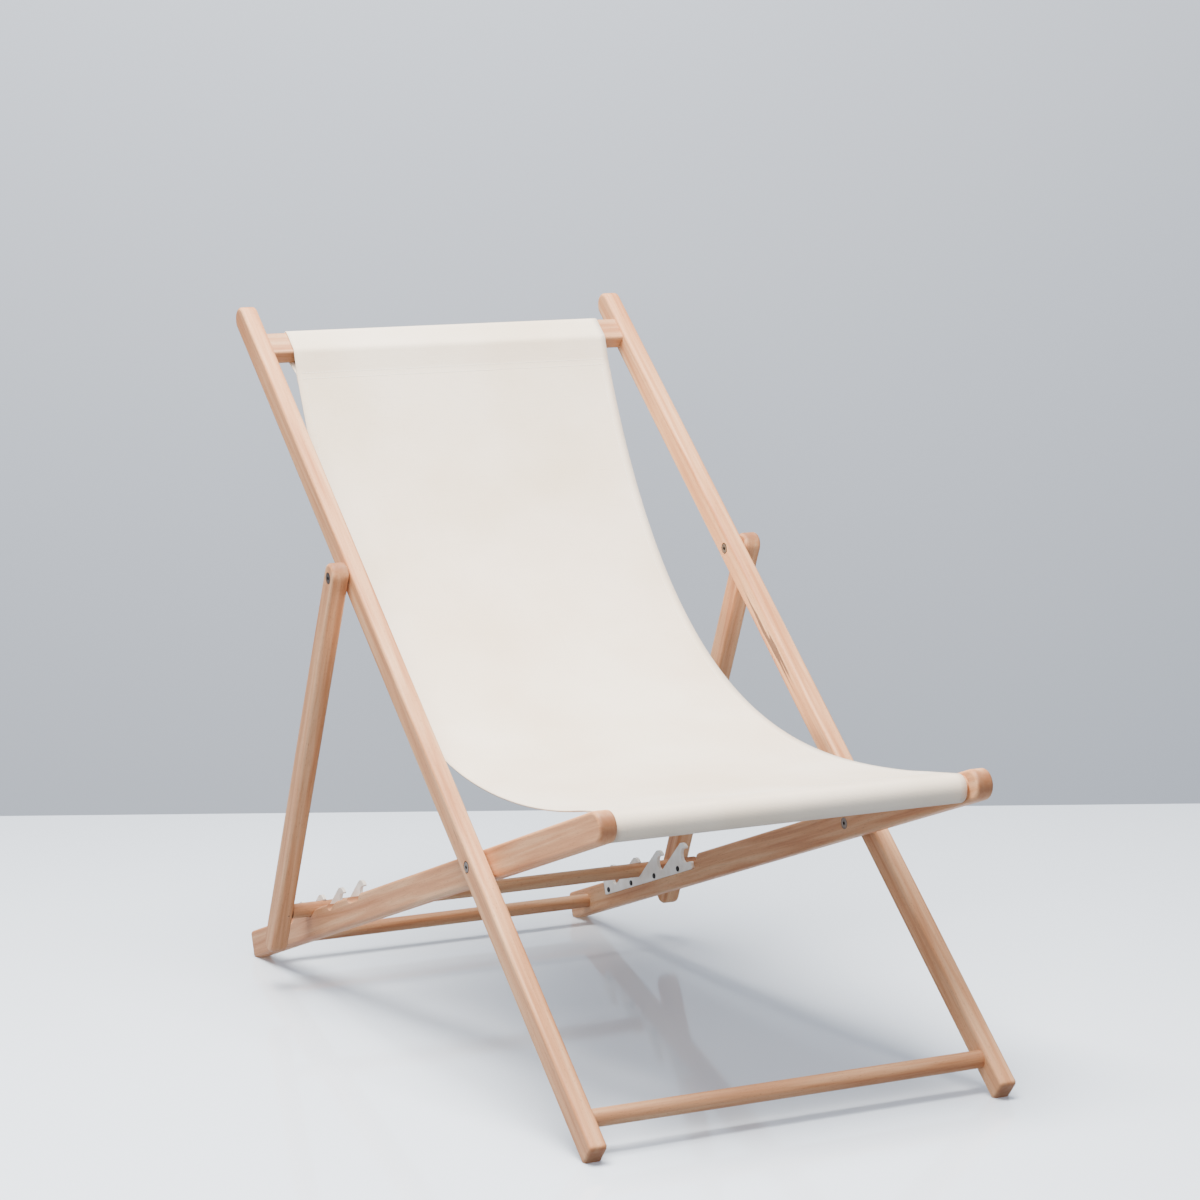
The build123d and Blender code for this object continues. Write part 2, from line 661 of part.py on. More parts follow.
# sling: a sleeve round the front bar, the hanging sheet and a sleeve round
# the top bar, in one sheet of canvas
front_lean = sling_front_angle * pi / 180
top_lean = sling_top_angle * pi / 180
sleeve_front = front_bar_radius + sleeve_clearance
front_middle = sleeve_front + sling_thickness / 2
sheet_start = front_bar_at + Vector(0, sin(front_lean), cos(front_lean)) * front_middle
start_pull = sheet_start + Vector(0, cos(front_lean), -sin(front_lean)) * sling_front_reach
top_middle = top_bar_depth / 2 + sleeve_clearance + sling_thickness / 2
sheet_end = top_bar_at - back_u * top_middle + back_n * sling_leaves_top_bar
end_pull = sheet_end - Vector(0, cos(top_lean), sin(top_lean)) * sling_top_reach
with BuildPart() as canvas_sling:
    with BuildSketch(side_plane.offset(-sling_half_width)):
        with BuildLine():
            Bezier(
                (sheet_start.Y, sheet_start.Z),
                (start_pull.Y, start_pull.Z),
                (end_pull.Y, end_pull.Z),
                (sheet_end.Y, sheet_end.Z))
        trace(line_width=sling_thickness)
        with Locations((front_bar_at.Y, front_bar_at.Z)):
            Circle(sleeve_front + sling_thickness)
            Circle(sleeve_front, mode=Mode.SUBTRACT)
        with Locations(Location((top_bar_at.Y, top_bar_at.Z, 0), (0, 0, degrees(back_angle)))):
            RectangleRounded(
                top_bar_depth + 2 * (sleeve_clearance + sling_thickness),
                top_bar_thickness + 2 * (sleeve_clearance + sling_thickness),
                top_bar_round + sleeve_clearance + sling_thickness)
            RectangleRounded(
                top_bar_depth + 2 * sleeve_clearance,
                top_bar_thickness + 2 * sleeve_clearance,
                top_bar_round + sleeve_clearance, mode=Mode.SUBTRACT)
    extrude(amount=2 * sling_half_width)

seat_rail_left.part.label = "seat_rail_left"
seat_rail_right.part.label = "seat_rail_right"
front_bar.part.label = "front_bar"
rear_dowel.part.label = "rear_dowel"
ratchet_plate_left.part.label = "ratchet_plate_left"
ratchet_plate_right.part.label = "ratchet_plate_right"
ratchet_screws_left.part.label = "ratchet_screws_left"
ratchet_screws_right.part.label = "ratchet_screws_right"
front_bar_brads.part.label = "front_bar_brads"
rear_dowel_brads.part.label = "rear_dowel_brads"
main_pivot_sleeve_left.part.label = "main_pivot_sleeve_left"
main_pivot_sleeve_right.part.label = "main_pivot_sleeve_right"
main_pivot_screw_left.part.label = "main_pivot_screw_left"
main_pivot_screw_right.part.label = "main_pivot_screw_right"
main_pivot_washer_left.part.label = "main_pivot_washer_left"
main_pivot_washer_right.part.label = "main_pivot_washer_right"
back_rail_left.part.label = "back_rail_left"
back_rail_right.part.label = "back_rail_right"
top_bar.part.label = "top_bar"
foot_dowel.part.label = "foot_dowel"
top_bar_brads.part.label = "top_bar_brads"
foot_dowel_brads.part.label = "foot_dowel_brads"
prop_leg_left.part.label = "prop_leg_left"
prop_leg_right.part.label = "prop_leg_right"
prop_crossbar.part.label = "prop_crossbar"
crossbar_brads.part.label = "crossbar_brads"
prop_pivot_sleeve_left.part.label = "prop_pivot_sleeve_left"
prop_pivot_sleeve_right.part.label = "prop_pivot_sleeve_right"
prop_pivot_screw_left.part.label = "prop_pivot_screw_left"
prop_pivot_screw_right.part.label = "prop_pivot_screw_right"
prop_pivot_washer_left.part.label = "prop_pivot_washer_left"
prop_pivot_washer_right.part.label = "prop_pivot_washer_right"
canvas_sling.part.label = "canvas_sling"

pieces = [
    seat_rail_left, seat_rail_right, front_bar, rear_dowel,
    ratchet_plate_left, ratchet_plate_right, ratchet_screws_left, ratchet_screws_right,
    front_bar_brads, rear_dowel_brads,
    main_pivot_sleeve_left, main_pivot_sleeve_right,
    main_pivot_screw_left, main_pivot_screw_right,
    main_pivot_washer_left, main_pivot_washer_right,
    back_rail_left, back_rail_right, top_bar, foot_dowel,
    top_bar_brads, foot_dowel_brads,
    prop_leg_left, prop_leg_right, prop_crossbar, crossbar_brads,
    prop_pivot_sleeve_left, prop_pivot_sleeve_right,
    prop_pivot_screw_left, prop_pivot_screw_right,
    prop_pivot_washer_left, prop_pivot_washer_right,
    canvas_sling]
for piece in pieces:
    export_step(piece.part, "parts/" + piece.part.label + ".step")

print("opening", round(degrees(opening), 3), "back", round(degrees(back_angle), 3),
      "seat", round(degrees(seat_angle), 3), "prop", round(degrees(prop_angle), 3))
print("main pivot", round(main_pivot.Y, 3), round(main_pivot.Z, 3),
      "prop pivot", round(prop_pivot.Y, 3), round(prop_pivot.Z, 3))
print("crossbar", round(crossbar_at.Y, 3), round(crossbar_at.Z, 3),
      "front bar", round(front_bar_at.Y, 3), round(front_bar_at.Z, 3),
      "top bar", round(top_bar_at.Y, 3), round(top_bar_at.Z, 3))
print("back foot", round(back_foot.Y, 3), round(back_foot.Z, 3),
      "seat foot", round(seat_foot.Y, 3), round(seat_foot.Z, 3))
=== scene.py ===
import bpy, json, math
from mathutils import Matrix, Vector


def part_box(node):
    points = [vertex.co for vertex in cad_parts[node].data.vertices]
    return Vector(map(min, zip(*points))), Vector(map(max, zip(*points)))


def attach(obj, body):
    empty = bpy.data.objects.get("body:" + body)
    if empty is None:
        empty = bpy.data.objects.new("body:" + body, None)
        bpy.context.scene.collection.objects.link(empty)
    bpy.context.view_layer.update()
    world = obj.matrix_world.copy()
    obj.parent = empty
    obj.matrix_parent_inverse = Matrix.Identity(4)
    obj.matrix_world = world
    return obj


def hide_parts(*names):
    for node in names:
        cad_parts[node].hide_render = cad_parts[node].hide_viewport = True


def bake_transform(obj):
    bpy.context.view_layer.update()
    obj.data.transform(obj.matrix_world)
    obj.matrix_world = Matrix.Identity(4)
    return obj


# Notched beech deck chair with a cotton canvas sling, open in its second notch.
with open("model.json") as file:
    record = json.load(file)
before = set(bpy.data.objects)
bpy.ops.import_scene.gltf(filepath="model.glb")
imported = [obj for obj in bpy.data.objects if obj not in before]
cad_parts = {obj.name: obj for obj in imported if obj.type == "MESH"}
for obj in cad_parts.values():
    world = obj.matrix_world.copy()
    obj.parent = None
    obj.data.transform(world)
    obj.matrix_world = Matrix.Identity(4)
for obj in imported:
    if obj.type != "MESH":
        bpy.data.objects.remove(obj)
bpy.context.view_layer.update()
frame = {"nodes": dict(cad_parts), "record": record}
nodes = frame["nodes"]
print("frame loaded:", len(nodes), "nodes")


def linear(hexColour):  # sRGB hex to linear RGBA
    parts = [int(hexColour[i:i + 2], 16) / 255 for i in (1, 3, 5)]
    return [c / 12.92 if c <= 0.04045 else ((c + 0.055) / 1.055) ** 2.4 for c in parts] + [1.0]


def grey(value):
    return (value, value, value, 1.0)


def addNode(tree, kind, settings=None, inputs=None):
    node = tree.nodes.new(kind)
    for name, value in (settings or {}).items():
        setattr(node, name, value)
    for name, value in (inputs or {}).items():
        if isinstance(value, bpy.types.NodeSocket):
            tree.links.new(value, node.inputs[name])
        else:
            node.inputs[name].default_value = value
    return node


def newMaterial(name):
    material = bpy.data.materials.new(name)
    material.use_nodes = True
    tree = material.node_tree
    tree.nodes.clear()
    shader = addNode(tree, "ShaderNodeBsdfPrincipled")
    addNode(tree, "ShaderNodeOutputMaterial", inputs={"Surface": shader.outputs[0]})
    return material, tree, shader


def setShader(shader, values):
    for name, value in values.items():
        shader.inputs[name].default_value = value


def ramp(tree, factor, stops):
    node = addNode(tree, "ShaderNodeValToRGB", inputs={"Fac": factor})
    elements = node.color_ramp.elements
    elements[0].position, elements[0].color = stops[0][0], stops[0][1]
    elements[1].position, elements[1].color = stops[-1][0], stops[-1][1]
    for place, colour in stops[1:-1]:
        elements.new(place).color = colour
    return node.outputs["Color"]


def greyRamp(tree, factor, stops):
    return ramp(tree, factor, [(place, grey(value)) for place, value in stops])


def mixColour(tree, factor, first, second, blend="MIX"):
    node = addNode(tree, "ShaderNodeMix", {"data_type": "RGBA", "blend_type": blend},
                   {0: factor, 6: first, 7: second})  # 6 and 7 are the node's colour sockets
    return node.outputs[2]


def noise(tree, vector, scale=1.0, detail=2.0, roughness=0.5, distortion=0.0):
    return addNode(tree, "ShaderNodeTexNoise", inputs={
        "Vector": vector, "Scale": scale, "Detail": detail, "Roughness": roughness,
        "Distortion": distortion})


def scaled(tree, vector, scale):
    return addNode(tree, "ShaderNodeMapping", {"vector_type": "POINT"},
                   {"Vector": vector, "Scale": scale}).outputs[0]


def addBump(tree, shader, height, strength, distance):
    bump = addNode(tree, "ShaderNodeBump", inputs={
        "Strength": strength, "Distance": distance, "Height": height})
    tree.links.new(bump.outputs[0], shader.inputs["Normal"])


def addObject(name, data):
    thing = bpy.data.objects.new(name, data)
    bpy.context.scene.collection.objects.link(thing)
    return thing


def smoothShade(mesh):
    for polygon in mesh.polygons:
        polygon.use_smooth = True


def thicken(piece, thickness):
    modifier = piece.modifiers.new("thick", "SOLIDIFY")
    modifier.thickness = thickness
    modifier.offset = 0


cameraSetup = {"sensor": 36, "lens": 106.8, "place": (-1.8252, -3.6872, 1.0992),
               "yaw": -26.501, "pitch": -8.195, "roll": -0.599}
cameraData = bpy.data.cameras.new("studioCamera")
cameraData.sensor_width = cameraSetup["sensor"]
cameraData.lens = cameraSetup["lens"]
camera = addObject("studioCamera", cameraData)
turn = (Matrix.Rotation(math.radians(cameraSetup["yaw"]), 4, "Z")
        @ Matrix.Rotation(math.radians(90 + cameraSetup["pitch"]), 4, "X")
        @ Matrix.Rotation(math.radians(cameraSetup["roll"]), 4, "Z"))
camera.matrix_world = Matrix.Translation(cameraSetup["place"]) @ turn
bpy.context.scene.camera = camera
print("camera set")

studio = {"floor": "#EEF6FF", "floorRoughness": 0.07, "floorShine": 0.5, "floorSize": 30.0,
          "wall": "#A3A8B0", "wallRoughness": 0.9, "wallShine": 0.1, "wallDistance": 5.37,
          "wallHeight": 12.0, "world": "#CAD6E6", "worldPower": 0.85}


def studioBoard(name, corners):
    mesh = bpy.data.meshes.new(name)
    mesh.from_pydata(corners, [], [(0, 1, 2, 3)])
    board = addObject(name, mesh)
    board.visible_diffuse = False  # no light thrown back up, so that the shaded sides stay deep
    return board


def makeStudio():
    yaw = math.radians(cameraSetup["yaw"])
    forward = Vector((-math.sin(yaw), math.cos(yaw), 0))
    side = Vector((forward.y, -forward.x, 0))
    base = Vector(cameraSetup["place"])
    base.z = 0
    half = studio["floorSize"]
    wallFoot = base + forward * studio["wallDistance"]
    near, far = forward * -half, forward * half
    up = Vector((0, 0, studio["wallHeight"]))
    left, right = wallFoot - side * half, wallFoot + side * half
    floor = studioBoard("studioFloor", [left + near, right + near, right + far, left + far])
    wall = studioBoard("studioWall", [left, right, right + up, left + up])
    # lacquered white board: soft mirror of the legs
    material, tree, shader = newMaterial("lacqueredFloor")
    setShader(shader, {"Base Color": linear(studio["floor"]), "Roughness": studio["floorRoughness"],
                       "Specular IOR Level": studio["floorShine"]})
    floor.data.materials.append(material)
    # painted wall: flat and grey, and clear from behind so that the back can be looked at
    material, tree, shader = newMaterial("paintedWall")
    clear = addNode(tree, "ShaderNodeBsdfTransparent")
    facing = addNode(tree, "ShaderNodeNewGeometry")
    oneSided = addNode(tree, "ShaderNodeMixShader", inputs={
        0: facing.outputs["Backfacing"], 1: shader.outputs[0], 2: clear.outputs[0]})
    tree.links.new(oneSided.outputs[0], tree.nodes["Material Output"].inputs["Surface"])
    setShader(shader, {"Base Color": linear(studio["wall"]), "Roughness": studio["wallRoughness"],
                       "Specular IOR Level": studio["wallShine"]})
    wall.data.materials.append(material)
    world = bpy.data.worlds.new("studioWorld")
    bpy.context.scene.world = world
    world.use_nodes = True
    background = world.node_tree.nodes["Background"]
    background.inputs["Color"].default_value = linear(studio["world"])
    background.inputs["Strength"].default_value = studio["worldPower"]


lamps = {"topBox": {"place": (-0.6, -0.2, 3.2), "target": (0, 0, 0.3), "size": 2.2,
                    "power": 430, "colour": "#FFFCF8"},
         "fillBox": {"place": (-1.5, -2.1, 1.3), "target": (-0.2, 0, 0.4), "size": 0.9,
                     "power": 24, "colour": "#F8F8FF"}}


def softbox(name, lamp):
    data = bpy.data.lights.new(name, "AREA")
    data.shape = "RECTANGLE"
    data.size = data.size_y = lamp["size"]
    data.energy = lamp["power"]
    data.color = linear(lamp["colour"])[:3]
    aim = (Vector(lamp["target"]) - Vector(lamp["place"])).to_track_quat("-Z", "Y")
    addObject(name, data).matrix_world = Matrix.Translation(lamp["place"]) @ aim.to_matrix().to_4x4()


makeStudio()
for name, lamp in lamps.items():
    softbox(name, lamp)
print("studio set")

# sizes are across the grain and along it
beech = {"pale": "#DBA87C", "mid": "#CE9264", "warm": "#B8774A", "fleck": "#7A4A2A",
         "streak": "#512F1B", "endGrain": "#7E4D2C", "bandPlaces": (0.32, 0.5, 0.66),
         "bandMm": (9.0, 240), "fibreMm": (0.7, 34), "fleckMm": (0.55, 5.0), "streakMm": (11, 150),
         "fibreTone": ((0.3, 0.9), (0.7, 1.04)), "fleckMask": ((0.655, 0), (0.72, 0.5)),
         "streakMask": ((0.69, 0), (0.80, 0.55)), "spotMask": ((0.02, 0), (0.35, 0.85)),
         "endMask": ((0.35, 0), (0.9, 0.8)), "roughness": 0.6, "rougher": 0.06, "smoother": 0.04,
         "ior": 1.47, "bump": 0.25, "bumpDepth": 0.0003}


# planed steamed beech under a thin satin oil: pinkish straw wood, soft bands along the
# board, many short dark flecks, darker end grain, and a low sheen
def beechMaterial(name, grainAngle, acrossBars=False, depth=1.0, streakAt=None):
    material, tree, shader = newMaterial(name)
    grainTurn = (0, 0, math.radians(90)) if acrossBars else (-grainAngle, 0, 0)
    coords = addNode(tree, "ShaderNodeTexCoord")
    turned, normal = [
        addNode(tree, "ShaderNodeMapping", {"vector_type": "POINT"},
                {"Vector": coords.outputs[kind], "Rotation": grainTurn}).outputs[0]
        for kind in ("Object", "Normal")]

    def grain(sizeMm, detail, roughness, distortion=0.0):
        across, along = 1000 / sizeMm[0], 1000 / sizeMm[1]
        stretched = scaled(tree, turned, (across, along, across))
        return noise(tree, stretched, 1.0, detail, roughness, distortion)

    bands = grain(beech["bandMm"], 3.0, 0.55, 0.4).outputs["Fac"]
    fibres = grain(beech["fibreMm"], 3.0, 0.6).outputs["Fac"]
    flecks = grain(beech["fleckMm"], 1.0, 0.4).outputs["Fac"]
    streaks = grain(beech["streakMm"], 4.0, 0.6, 0.8)
    tone = ramp(tree, bands, [(place, linear(beech[colour])) for place, colour
                              in zip(beech["bandPlaces"], ("warm", "mid", "pale"))])
    tone = mixColour(tree, 1.0, tone, greyRamp(tree, fibres, beech["fibreTone"]), "MULTIPLY")
    fleckMask = greyRamp(tree, flecks, beech["fleckMask"])
    tone = mixColour(tree, fleckMask, tone, linear(beech["fleck"]))
    streakMask = greyRamp(tree, streaks.outputs["Fac"], beech["streakMask"])
    tone = mixColour(tree, streakMask, tone, linear(beech["streak"]))
    if streakAt:  # one mineral streak, a long thin wandering spot
        wander = addNode(tree, "ShaderNodeVectorMath", {"operation": "MULTIPLY_ADD"}, {
            0: streaks.outputs["Color"], 1: streakAt["wander"], 2: turned})
        spot = addNode(tree, "ShaderNodeMapping", {"vector_type": "TEXTURE"}, {
            "Vector": wander.outputs[0], "Location": streakAt["middle"],
            "Scale": streakAt["size"]})
        inside = addNode(tree, "ShaderNodeTexGradient", {"gradient_type": "SPHERICAL"},
                         {"Vector": spot.outputs[0]})
        spotMask = greyRamp(tree, inside.outputs["Fac"], beech["spotMask"])
        tone = mixColour(tree, spotMask, tone, linear(beech["streak"]))
    facing = addNode(tree, "ShaderNodeSeparateXYZ", inputs={"Vector": normal})
    along = addNode(tree, "ShaderNodeMath", {"operation": "ABSOLUTE"}, {0: facing.outputs["Y"]})
    endMask = greyRamp(tree, along.outputs[0], beech["endMask"])
    tone = mixColour(tree, endMask, tone, linear(beech["endGrain"]))
    tone = mixColour(tree, 1.0, tone, grey(depth), "MULTIPLY")
    tree.links.new(tone, shader.inputs["Base Color"])
    setShader(shader, {"IOR": beech["ior"]})
    rough = greyRamp(tree, fibres, [(0.3, beech["roughness"] + beech["rougher"]),
                                    (0.7, beech["roughness"] - beech["smoother"])])
    tree.links.new(rough, shader.inputs["Roughness"])
    addBump(tree, shader, fibres, beech["bump"], beech["bumpDepth"])
    return material


# the slubs are fine noises drawn out along the weft and along the warp
canvas = {"thread": "#FAEDDA", "shade": "#EFDFC9", "slub": "#DBC9AE", "spacingMm": 1.4,
          "unevenness": 0.6, "slubs": (((40, 600, 1), 0.35), ((600, 40, 1), 0.25)),
          "slubPlaces": (0.62, 0.78), "cloudScale": 5.0, "cloudDetail": 3.0,
          "cloudTone": (0.90, 0.86, 0.80, 1.0), "cloudPlaces": (0.35, 0.62), "roughness": 0.88,
          "shine": 0.25, "sheen": 0.25, "sheenRoughness": 0.5, "bump": 0.35, "bumpDepth": 0.0003}


# plain woven cotton canvas: matt warm white, a fine basket of warp and weft with
# thicker threads here and there
def canvasMaterial():
    material, tree, shader = newMaterial("wovenCottonCanvas")
    uv = addNode(tree, "ShaderNodeUVMap", {"uv_map": "weave"}).outputs[0]
    # the wave texture runs 20 radians a metre at scale 1; the spacing is coarse, to show
    bandScale = math.tau / 20 / (canvas["spacingMm"] / 1000)
    waves = [addNode(tree, "ShaderNodeTexWave", {
        "wave_type": "BANDS", "bands_direction": direction}, {
        "Vector": uv, "Scale": bandScale, "Distortion": canvas["unevenness"],
        "Detail": 1.0}).outputs["Fac"] for direction in ("X", "Y")]
    weave = addNode(tree, "ShaderNodeMath", {"operation": "MULTIPLY"},
                    {0: waves[0], 1: waves[1]}).outputs[0]
    tone = ramp(tree, weave, [(0.0, linear(canvas["shade"])), (0.6, linear(canvas["thread"]))])
    slubs = []
    for scale, strength in canvas["slubs"]:
        slubs.append(noise(tree, scaled(tree, uv, scale)).outputs["Fac"])
        slubMask = greyRamp(tree, slubs[-1], list(zip(canvas["slubPlaces"], (0, strength))))
        tone = mixColour(tree, slubMask, tone, linear(canvas["slub"]))
    cloud = noise(tree, uv, canvas["cloudScale"], canvas["cloudDetail"]).outputs["Fac"]
    patches = ramp(tree, cloud, list(zip(canvas["cloudPlaces"], (canvas["cloudTone"], grey(1.0)))))
    tone = mixColour(tree, 1.0, tone, patches, "MULTIPLY")
    tree.links.new(tone, shader.inputs["Base Color"])
    setShader(shader, {"Roughness": canvas["roughness"], "Specular IOR Level": canvas["shine"],
                       "Sheen Weight": canvas["sheen"],
                       "Sheen Roughness": canvas["sheenRoughness"]})
    height = addNode(tree, "ShaderNodeMath", {"operation": "ADD"}, {0: weave, 1: slubs[0]})
    addBump(tree, shader, height.outputs[0], canvas["bump"], canvas["bumpDepth"])
    return material


thread = {"colour": "#F4F1E8", "roughness": 0.7, "sheen": 0.2}


# twisted cotton sewing thread: a little whiter than the canvas
def threadMaterial():
    material, tree, shader = newMaterial("cottonThread")
    setShader(shader, {"Base Color": linear(thread["colour"]), "Roughness": thread["roughness"],
                       "Sheen Weight": thread["sheen"]})
    return material


def cloudTone(tree, shader, coords, look):  # uneven colour; returns the noise behind it
    cloud = noise(tree, coords, look["cloudScale"], look["cloudDetail"]).outputs["Fac"]
    dark, light = look["places"]
    tone = ramp(tree, cloud, [(dark, linear(look["dark"])), (light, linear(look["light"]))])
    tree.links.new(tone, shader.inputs["Base Color"])
    return cloud


nylon = {"dark": "#EDE2D3", "light": "#FBF3E8", "cloudScale": 60.0, "cloudDetail": 4.0,
         "places": (0.35, 0.65), "peelScale": 900.0, "roughness": 0.42, "milkiness": 0.1,
         "milkDepth": 0.002, "bump": 0.08, "bumpDepth": 0.0002}


# injection moulded nylon: white, slightly translucent looking, satin with a faint orange peel
def nylonMaterial():
    material, tree, shader = newMaterial("mouldedNylon")
    coords = addNode(tree, "ShaderNodeTexCoord").outputs["Object"]
    cloudTone(tree, shader, coords, nylon)
    setShader(shader, {"Roughness": nylon["roughness"], "Subsurface Weight": nylon["milkiness"],
                       "Subsurface Radius": (nylon["milkDepth"],) * 3})
    peel = noise(tree, coords, nylon["peelScale"]).outputs["Fac"]
    addBump(tree, shader, peel, nylon["bump"], nylon["bumpDepth"])
    return material


# the dark and light brown greys are painted shade: the pivot screws and sleeves sit in shaded holes
# in the wood
paintedShadeZinc = {"dark": "#3F352E", "light": "#6B5E54", "cloudScale": 320.0, "cloudDetail": 4.0,
        "places": (0.3, 0.7), "roughness": (0.28, 0.42)}


# zinc plate on turned steel, coloured a dark brown grey as painted shade of the holes the pivots sit
# in, with a cloudy, uneven shine
def paintedShadeZincMaterial():
    material, tree, shader = newMaterial("zincPlateWithPaintedShade")
    coords = addNode(tree, "ShaderNodeTexCoord").outputs["Object"]
    cloud = cloudTone(tree, shader, coords, paintedShadeZinc)
    setShader(shader, {"Metallic": 1.0})
    rough = greyRamp(tree, cloud, list(zip(paintedShadeZinc["places"], paintedShadeZinc["roughness"])))
    tree.links.new(rough, shader.inputs["Roughness"])
    return material


blackened = {"dark": "#1C1B1B", "light": "#2E2C2B", "cloudScale": 500.0, "cloudDetail": 3.0,
             "places": (0.3, 0.7), "roughness": 0.45}


# blackened steel screw: near black oxide with a dull shine
def blackenedMaterial():
    material, tree, shader = newMaterial("blackenedSteel")
    coords = addNode(tree, "ShaderNodeTexCoord").outputs["Object"]
    cloudTone(tree, shader, coords, blackened)
    setShader(shader, {"Metallic": 1.0, "Roughness": blackened["roughness"]})
    return material


def middleOf(name):
    low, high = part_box(name)
    return (Vector(low) + Vector(high)) / 2


def slope(start, end):
    return math.atan2(end.z - start.z, end.y - start.y)


joints = {joint["name"]: joint for joint in frame["record"]["behaviour"]["joints"]}
propPivot = Vector(joints["prop_swing"]["pos_m"])
frontBar = middleOf("front_bar")
topBar = middleOf("top_bar")
backAngle = slope(middleOf("foot_dowel"), topBar)
seatAngle = slope(frontBar, middleOf("rear_dowel"))
propAngle = slope(propPivot, middleOf("prop_crossbar"))
alongBack = Vector((math.cos(backAngle), math.sin(backAngle)))
outOfBack = Vector((-alongBack.y, alongBack.x))

mineralStreak = {"belowPivot": 0.15, "size": (0.05, 0.10, 0.0045), "wander": (0, 0.04, 0.024)}
streakPlace = Vector((propPivot.y, propPivot.z)) - alongBack * mineralStreak["belowPivot"]
mineralStreak["middle"] = (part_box("back_rail_right")[0][0],
                           streakPlace.dot(alongBack) + mineralStreak["wander"][1] / 2,
                           streakPlace.dot(outOfBack) + mineralStreak["wander"][2] / 2)
seatBeech = beechMaterial("oiledBeechSeatRail", seatAngle)
backBeech = beechMaterial("oiledBeechBackRail", backAngle, streakAt=mineralStreak)
propBeech = beechMaterial("oiledBeechPropLeg", propAngle)
barBeech = beechMaterial("oiledBeechBar", 0, acrossBars=True, depth=0.8)
cottonCanvas = canvasMaterial()
cottonThread = threadMaterial()
whiteNylon = nylonMaterial()
paintedShadeZincSteel = paintedShadeZincMaterial()
blackSteel = blackenedMaterial()


def finishFor(name):
    if name.startswith("seat_rail"):
        return seatBeech
    if name.startswith("back_rail"):
        return backBeech
    if name.startswith("prop_leg"):
        return propBeech
    if name in ("front_bar", "rear_dowel", "foot_dowel", "top_bar", "prop_crossbar"):
        return barBeech
    if name.startswith("ratchet_plate"):
        return whiteNylon
    if name.startswith("ratchet_screws"):
        return blackSteel
    if name == "canvas_sling":
        return cottonCanvas
    return paintedShadeZincSteel


for name, piece in nodes.items():
    for place in piece.material_slots:
        place.material = finishFor(name)
print("finishes on the frame")

sling = {"halfWidth": 0.213, "thickness": 0.0011, "frontBarRadius": 0.014, "gap": 0.0010,
         "topDepth": 0.035, "topThickness": 0.020, "topRound": 0.003,
         "frontLean": 7.9, "frontReach": 0.297, "topLean": 69.0, "topReach": 0.540,
         "leavesTopBar": 0.0065, "seamBehindFrontBar": 0.036, "seamBelowTopBar": 0.022,
         "seamAllowance": 0.012, "allowanceOff": 1.25, "allowanceSteps": 3, "seamRows": 8,
         "step": 0.0075, "sleeveStep": 0.0035, "across": 52,
         "curveSteps": 400, "barSteps": 72, "cornerSteps": 8}


def outlineAround(points, extra):  # taut loop of cloth round a bar and its seam, counter-clockwise
    everything = sorted(set((round(p[0], 7), round(p[1], 7)) for p in points + [extra]))

    def cross(o, a, b):
        return (a[0] - o[0]) * (b[1] - o[1]) - (a[1] - o[1]) * (b[0] - o[0])

    halves = []
    for ordered in (everything, everything[::-1]):
        chain = []
        for point in ordered:
            while len(chain) > 1 and cross(chain[-2], chain[-1], point) <= 0:
                chain.pop()
            chain.append(point)
        halves.append(chain[:-1])
    loop = halves[0] + halves[1]
    start = min(range(len(loop)), key=lambda i: math.dist(loop[i], extra))
    return loop[start:] + loop[:start]


def evenly(points, step):  # the same line in equal steps, and its length
    lengths = [0.0]
    for a, b in zip(points, points[1:]):
        lengths.append(lengths[-1] + math.dist(a, b))
    total = lengths[-1]
    count = max(2, round(total / step))
    result, k = [], 0
    for i in range(count + 1):
        want = total * i / count
        while k < len(lengths) - 2 and lengths[k + 1] < want:
            k += 1
        span = lengths[k + 1] - lengths[k]
        t = (want - lengths[k]) / span if span else 0
        result.append((points[k][0] + (points[k + 1][0] - points[k][0]) * t,
                       points[k][1] + (points[k + 1][1] - points[k][1]) * t))
    return result, total


def trimmed(points, length):  # the line without its first stretch
    gone = 0.0
    for i in range(len(points) - 1):
        gone += math.dist(points[i], points[i + 1])
        if gone >= length:
            return points[i + 1:]
    return points


